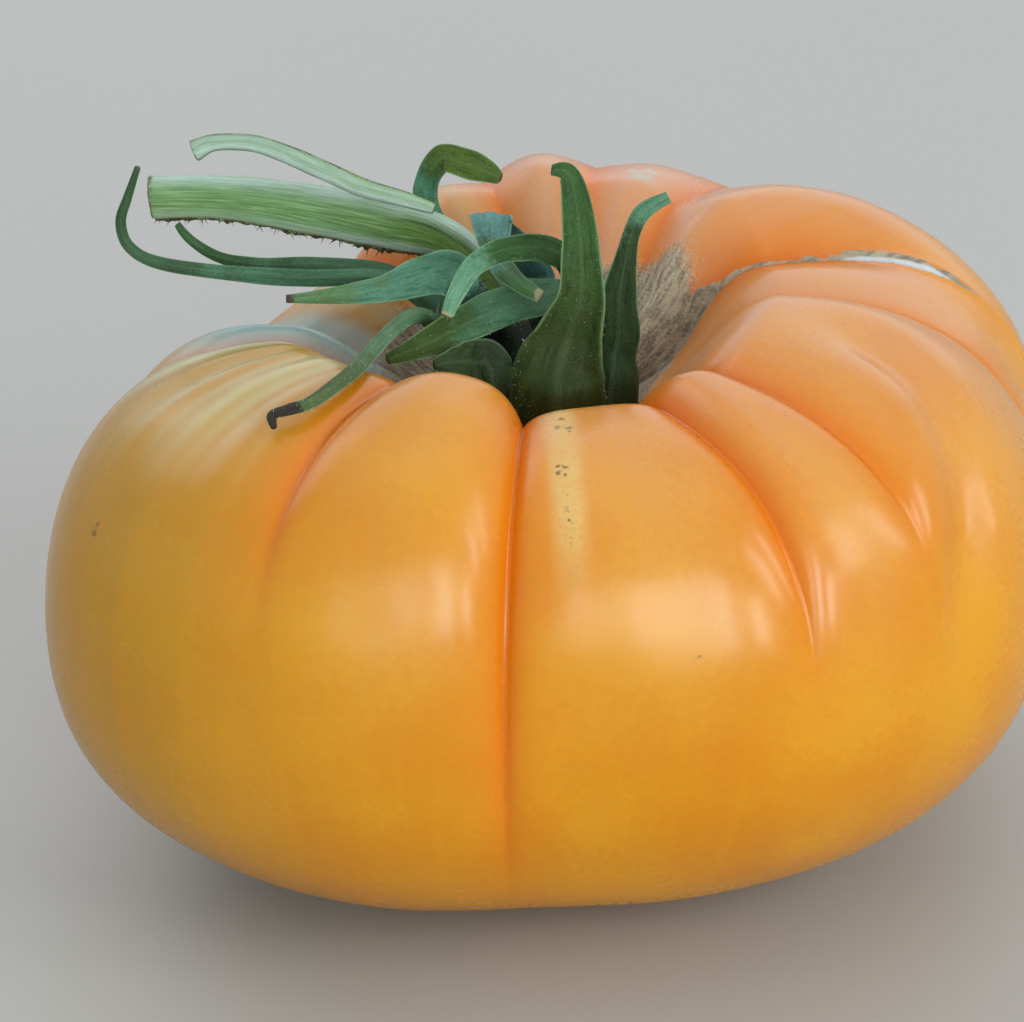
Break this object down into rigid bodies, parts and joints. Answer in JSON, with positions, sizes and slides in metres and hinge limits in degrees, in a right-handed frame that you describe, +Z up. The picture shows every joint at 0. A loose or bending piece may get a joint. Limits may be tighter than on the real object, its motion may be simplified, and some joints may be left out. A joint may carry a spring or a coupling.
{
  "type": "beefsteak tomato",
  "caption": "Large ribbed yellow-orange beefsteak tomato, broad and squat, with curled green sepals in its sunken stem cavity and a bent, partly split piece of fruit stalk.",
  "frame": {"origin": "on the surface that the fruit rests on, under the middle of the object's box", "axes": "+Z up out of the stem cavity, +X and +Y level, +X along the longest side of the box; the side with the bent stalk is -X"},
  "size_m": [0.1261, 0.1175, 0.0893],
  "materials": {
    "skin": "smooth waxy fruit skin, yellow-orange, olive on one shoulder and salmon at the back",
    "calyx": "matt hairy leaf, dark green with brown dry tips",
    "stalk": "ridged green stalk with pale ridges and a torn end"
  },
  "bodies": {
    "root": {"fruit": "skin", "calyx_cup": "calyx", "sepal_front_tall": "calyx", "sepal_front_bent": "calyx", "sepal_front_low": "calyx", "sepal_wide": "calyx", "sepal_arched": "calyx", "sepal_folded": "calyx", "sepal_left": "calyx", "sepal_drooping": "calyx", "sepal_left_curl": "calyx", "sepal_left_back": "calyx", "sepal_back": "calyx", "stalk": "stalk", "stalk_strand": "stalk"}
  },
  "joints": []
}
